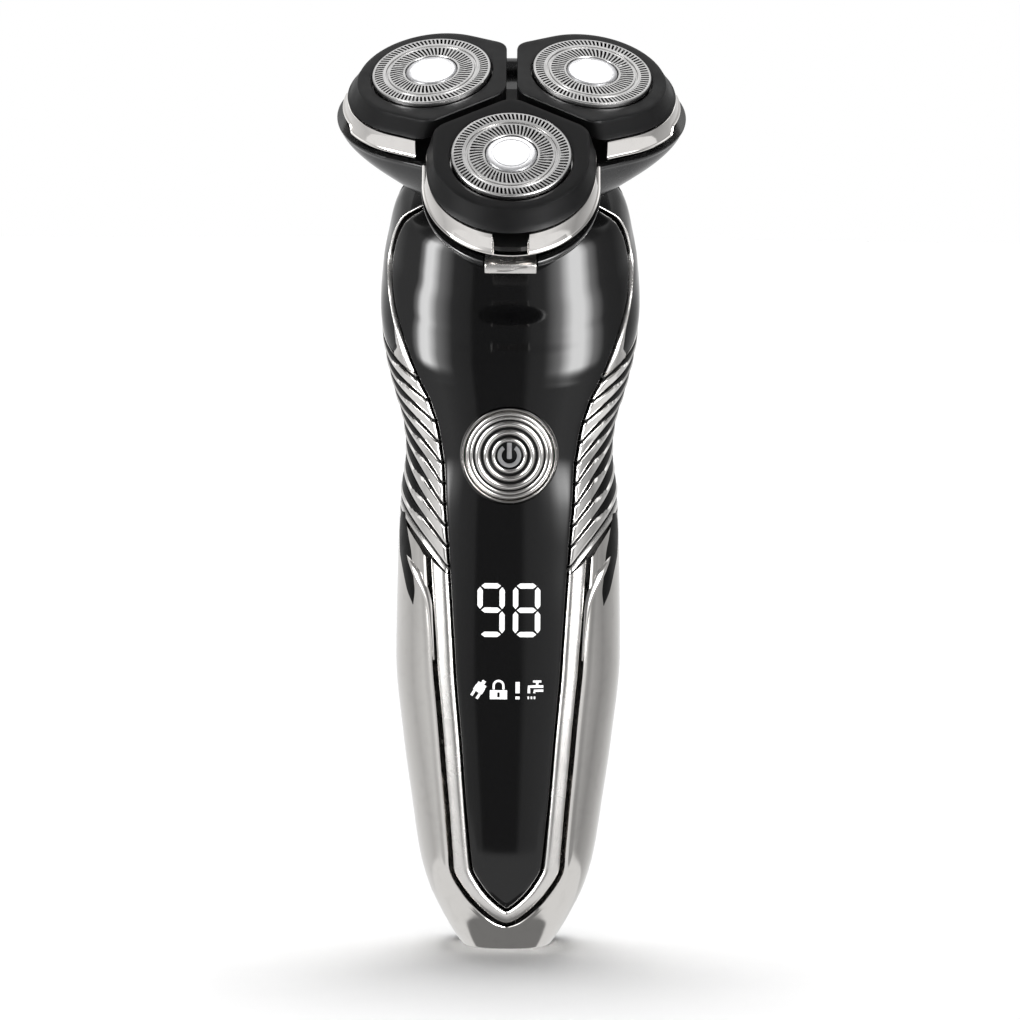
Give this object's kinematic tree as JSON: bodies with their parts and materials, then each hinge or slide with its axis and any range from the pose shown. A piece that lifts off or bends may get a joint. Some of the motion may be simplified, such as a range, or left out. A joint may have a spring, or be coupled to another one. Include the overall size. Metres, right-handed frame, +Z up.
{
  "type": "electric shaver",
  "caption": "Upright rotary shaver with flexing round shaving heads on a hinged, removable head, a ribbed waist, a round power button and a tapering handle.",
  "frame": {"origin": "centre of the flat base face the shaver stands on", "axes": "+Z up the handle, -Y towards the front with the button, +X to the viewer's right of it"},
  "size_m": [0.0678, 0.0593, 0.1784],
  "materials": {
    "gloss_black": "piano black",
    "matte_black": "fine matte",
    "chrome": "warm bright plating",
    "trim_silver": "light satin plating",
    "gunmetal": "dark metallic",
    "steel": "brushed",
    "satin_silver": "satin",
    "white_plastic": "moulded",
    "board_green": "coated board",
    "cell_blue": "shrink sleeve",
    "rubber": "soft"
  },
  "bodies": {
    "handle": {"front_cover": "gloss_black", "panel_trim": "trim_silver", "chrome_shell": "chrome", "side_grip_left": "chrome", "side_grip_right": "chrome", "shoulder_trim_left": "chrome", "shoulder_trim_right": "chrome", "rear_cover": "matte_black", "base_plate": "matte_black", "charging_socket": "steel", "chassis_screw_1": "steel", "chassis_screw_2": "steel", "chassis_screw_3": "steel", "chassis_screw_4": "steel", "button_bezel": "chrome", "button_seal": "rubber", "tact_switch": "matte_black", "main_circuit_board": "board_green", "display_module": "matte_black", "inner_chassis": "matte_black", "battery_cell": "cell_blue", "battery_tab_top": "steel", "battery_tab_bottom": "steel", "motor_can": "steel", "motor_mount_plate": "matte_black", "shaft_seal": "rubber", "neck_collar": "matte_black"},
    "power_button": {"power_button": "chrome"},
    "drive": {"motor_shaft": "steel", "drive_coupler": "white_plastic"},
    "head_base": {"hair_chamber": "gunmetal", "gear_plate": "white_plastic", "hinge_pin": "steel", "release_spring": "steel"},
    "central_gear": {"central_gear": "white_plastic"},
    "release_tab": {"release_tab": "trim_silver"},
    "head_top": {"head_carrier": "matte_black"},
    "spindle_front": {"spindle_gear_front": "white_plastic"},
    "lobe_front": {"lobe_frame_front": "matte_black", "chrome_band_front": "chrome", "retaining_ring_front": "white_plastic"},
    "cap_front": {"shaving_cap_front": "steel", "center_cap_front": "satin_silver"},
    "cutter_front": {"cutter_front": "steel"},
    "spindle_left": {"spindle_gear_left": "white_plastic"},
    "lobe_left": {"lobe_frame_left": "matte_black", "chrome_band_left": "chrome", "retaining_ring_left": "white_plastic"},
    "cap_left": {"shaving_cap_left": "steel", "center_cap_left": "satin_silver"},
    "cutter_left": {"cutter_left": "steel"},
    "spindle_right": {"spindle_gear_right": "white_plastic"},
    "lobe_right": {"lobe_frame_right": "matte_black", "chrome_band_right": "chrome", "retaining_ring_right": "white_plastic"},
    "cap_right": {"shaving_cap_right": "steel", "center_cap_right": "satin_silver"},
    "cutter_right": {"cutter_right": "steel"}
  },
  "joints": [
    {"name": "power_button_press", "type": "slide", "parent": "handle", "child": "power_button", "axis": [0, 1, 0], "range_m": [0, 0.0005], "stiffness_N_per_m": 900},
    {"name": "central_gear_spin", "type": "hinge", "parent": "head_base", "child": "central_gear", "pos_m": [0, -0.008, 0.1669], "axis": [0, -0.5299, 0.848], "continuous": true},
    {"name": "drive_spin", "type": "hinge", "parent": "handle", "child": "drive", "pos_m": [0, -0.008, 0.1669], "axis": [0, -0.5299, 0.848], "continuous": true},
    {"name": "head_pull_off", "type": "slide", "parent": "handle", "child": "head_base", "axis": [0, -0.5299, 0.848], "range_m": [0, 0.012]},
    {"name": "head_open", "type": "hinge", "parent": "head_base", "child": "head_top", "pos_m": [0, 0.02241, 0.17069], "axis": [-1, 0, 0], "range_deg": [0, 95]},
    {"name": "release_tab_press", "type": "slide", "parent": "head_base", "child": "release_tab", "axis": [0, 0.848, 0.5299], "range_m": [0, 0.001], "stiffness_N_per_m": 500},
    {"name": "spindle_front_spin", "type": "hinge", "parent": "head_base", "child": "spindle_front", "pos_m": [0, -0.02276, 0.15768], "axis": [0, -0.5299, 0.848], "continuous": true},
    {"name": "lobe_front_flex", "type": "hinge", "parent": "head_top", "child": "lobe_front", "pos_m": [0, -0.01953, 0.15268], "axis": [1, 0, 0], "range_deg": [-2.5, 2.5], "stiffness_Nm_per_rad": 0.05},
    {"name": "cap_front_sink", "type": "slide", "parent": "lobe_front", "child": "cap_front", "axis": [0, 0.6361, -0.7716], "range_m": [0, 0.0008], "stiffness_N_per_m": 900},
    {"name": "cutter_front_spin", "type": "hinge", "parent": "cap_front", "child": "cutter_front", "pos_m": [0, -0.02335, 0.15731], "axis": [0, -0.6361, 0.7716], "continuous": true},
    {"name": "spindle_left_spin", "type": "hinge", "parent": "head_base", "child": "spindle_left", "pos_m": [-0.01507, -0.00062, 0.17151], "axis": [0, -0.5299, 0.848], "continuous": true},
    {"name": "lobe_left_flex", "type": "hinge", "parent": "head_top", "child": "lobe_left", "pos_m": [-0.015, 0.0025, 0.16644], "axis": [-0.5, -0.7344, -0.4589], "range_deg": [-2.5, 2.5], "stiffness_Nm_per_rad": 0.05},
    {"name": "cap_left_sink", "type": "slide", "parent": "lobe_left", "child": "cap_left", "axis": [0.113, 0.47, -0.8754], "range_m": [0, 0.0008], "stiffness_N_per_m": 900},
    {"name": "cutter_left_spin", "type": "hinge", "parent": "cap_left", "child": "cutter_left", "pos_m": [-0.01568, -0.00033, 0.1717], "axis": [-0.113, -0.47, 0.8754], "continuous": true},
    {"name": "spindle_right_spin", "type": "hinge", "parent": "head_base", "child": "spindle_right", "pos_m": [0.01507, -0.00062, 0.17151], "axis": [0, -0.5299, 0.848], "continuous": true},
    {"name": "lobe_right_flex", "type": "hinge", "parent": "head_top", "child": "lobe_right", "pos_m": [0.015, 0.0025, 0.16644], "axis": [-0.5, 0.7344, 0.4589], "range_deg": [-2.5, 2.5], "stiffness_Nm_per_rad": 0.05},
    {"name": "cap_right_sink", "type": "slide", "parent": "lobe_right", "child": "cap_right", "axis": [-0.113, 0.47, -0.8754], "range_m": [0, 0.0008], "stiffness_N_per_m": 900},
    {"name": "cutter_right_spin", "type": "hinge", "parent": "cap_right", "child": "cutter_right", "pos_m": [0.01568, -0.00033, 0.1717], "axis": [0.113, -0.47, 0.8754], "continuous": true}
  ],
  "couplings": [
    {"joint": "drive_spin", "follows": "central_gear_spin", "ratio": 1},
    {"joint": "spindle_front_spin", "follows": "central_gear_spin", "ratio": -1},
    {"joint": "cutter_front_spin", "follows": "central_gear_spin", "ratio": -1},
    {"joint": "spindle_left_spin", "follows": "central_gear_spin", "ratio": -1},
    {"joint": "cutter_left_spin", "follows": "central_gear_spin", "ratio": -1},
    {"joint": "spindle_right_spin", "follows": "central_gear_spin", "ratio": -1},
    {"joint": "cutter_right_spin", "follows": "central_gear_spin", "ratio": -1}
  ]
}
